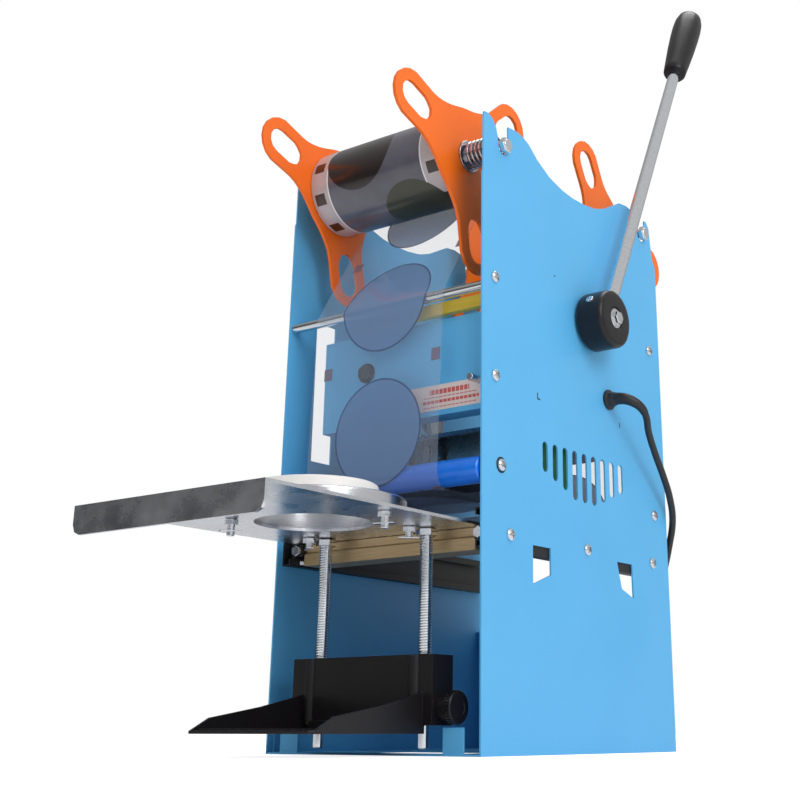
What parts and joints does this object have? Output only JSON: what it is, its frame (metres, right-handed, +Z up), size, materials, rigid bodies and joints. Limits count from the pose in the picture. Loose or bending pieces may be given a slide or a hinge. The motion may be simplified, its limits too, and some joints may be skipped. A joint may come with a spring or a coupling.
{
  "type": "cup sealing machine",
  "caption": "Hand-lever cup sealing machine: sheet-metal frame, sliding tray with a ring for the cup, heated head worked by a side lever, film reels with star flanges.",
  "frame": {"origin": "middle of the base's underside", "axes": "+X towards the lever side, -Y towards the front where the tray comes out, +Z up"},
  "size_m": [0.269, 0.6425, 0.8086],
  "materials": {
    "blue_sheet": "satin powder coat",
    "orange_flange": "satin",
    "chrome_bar": "polished",
    "machined_steel": "brushed",
    "aluminium": "brushed",
    "black_steel": "satin",
    "gold_bar": "anodised",
    "blue_roller": "gloss",
    "black_plastic": "fine texture",
    "white_silicone": "matte",
    "film": "clear",
    "circuit_board": "satin",
    "cord_rubber": "matte"
  },
  "bodies": {
    "frame": {"right_panel": "blue_sheet", "left_panel": "blue_sheet", "base_plate": "blue_sheet", "lower_back_panel": "blue_sheet", "front_cover": "blue_sheet", "film_guide_rod": "chrome_bar", "film_bar": "gold_bar", "rear_guide_rod": "chrome_bar", "rail_left": "black_steel", "rail_right": "black_steel", "lower_frame": "black_steel", "top_plate": "machined_steel", "guide_post_left": "chrome_bar", "guide_post_right": "chrome_bar", "film_web": "film", "return_spring_left": "chrome_bar", "return_spring_right": "chrome_bar", "control_board": "circuit_board", "strain_relief": "cord_rubber", "power_cord": "cord_rubber", "cord_coil": "cord_rubber", "mains_plug": "black_plastic"},
    "supply_reel": {"supply_shaft": "chrome_bar", "film_roll": "film", "supply_flange_left": "orange_flange", "supply_flange_right": "orange_flange", "supply_spring_left": "chrome_bar", "supply_spring_right": "chrome_bar"},
    "takeup_reel": {"takeup_shaft": "chrome_bar", "waste_roll": "film", "takeup_flange_left": "orange_flange", "takeup_flange_right": "orange_flange"},
    "roller": {"guide_roller": "blue_roller"},
    "lever": {"main_shaft": "machined_steel", "crank_left": "machined_steel", "crank_right": "machined_steel", "lever_hub": "black_plastic", "lever_rod": "chrome_bar", "lever_grip": "black_plastic", "hub_bolt": "machined_steel"},
    "link_l": {"link_left": "machined_steel"},
    "link_r": {"link_right": "machined_steel"},
    "head": {"head_plate": "machined_steel", "heating_plate": "aluminium", "cutter_ring": "machined_steel", "head_yoke": "machined_steel"},
    "tray": {"tray_plate": "aluminium", "die_ring": "aluminium", "seat_ring": "white_silicone", "tray_beam": "aluminium", "carriage_left": "black_steel", "carriage_right": "black_steel", "rod_left": "chrome_bar", "rod_right": "chrome_bar"},
    "holder": {"cup_holder": "black_plastic"},
    "holder_lock": {"holder_knob": "black_plastic"},
    "switch": {"power_switch": "black_plastic"},
    "temperature_dial": {"temperature_knob": "black_plastic"}
  },
  "joints": [
    {"name": "lever_pull", "type": "hinge", "parent": "frame", "child": "lever", "pos_m": [0, 0.017, 0.378], "axis": [1, 0, 0], "range_deg": [0, 80]},
    {"name": "head_press", "type": "slide", "parent": "frame", "child": "head", "axis": [0, 0, -1], "range_m": [0, 0.0309], "stiffness_N_per_m": 600, "springref_m": -0.045, "deforming": ["return_spring_left", "return_spring_right"]},
    {"name": "link_left_pivot", "type": "hinge", "parent": "lever", "child": "link_l", "pos_m": [-0.061, -0.00138, 0.39343], "axis": [1, 0, 0], "range_deg": [-80.5, 0.5]},
    {"name": "link_right_pivot", "type": "hinge", "parent": "lever", "child": "link_r", "pos_m": [0.061, -0.00138, 0.39343], "axis": [1, 0, 0], "range_deg": [-80.5, 0.5]},
    {"name": "tray_slide", "type": "slide", "parent": "frame", "child": "tray", "axis": [0, 1, 0], "range_m": [0, 0.222]},
    {"name": "holder_height", "type": "slide", "parent": "tray", "child": "holder", "axis": [0, 0, 1], "range_m": [0, 0.088]},
    {"name": "holder_lock_turn", "type": "hinge", "parent": "holder", "child": "holder_lock", "pos_m": [0.082, -0.1507, 0.035], "axis": [1, 0, 0], "continuous": true},
    {"name": "supply_turn", "type": "hinge", "parent": "frame", "child": "supply_reel", "pos_m": [0, -0.122, 0.508], "axis": [1, 0, 0], "continuous": true},
    {"name": "takeup_turn", "type": "hinge", "parent": "frame", "child": "takeup_reel", "pos_m": [0, 0.126, 0.503], "axis": [1, 0, 0], "continuous": true},
    {"name": "roller_turn", "type": "hinge", "parent": "frame", "child": "roller", "pos_m": [0, -0.145, 0.216], "axis": [1, 0, 0], "continuous": true},
    {"name": "switch_rock", "type": "hinge", "parent": "frame", "child": "switch", "pos_m": [-0.11025, 0.053, 0.299], "axis": [0, 0, 1], "range_deg": [0, 14]},
    {"name": "temperature_turn", "type": "hinge", "parent": "frame", "child": "temperature_dial", "pos_m": [-0.115, 0.053, 0.326], "axis": [-1, 0, 0], "range_deg": [0, 270]}
  ],
  "couplings": [
    {"joint": "head_press", "follows": "lever_pull", "m_per_rad": 0.0221},
    {"joint": "link_left_pivot", "follows": "lever_pull", "ratio": -1},
    {"joint": "link_right_pivot", "follows": "lever_pull", "ratio": -1}
  ]
}
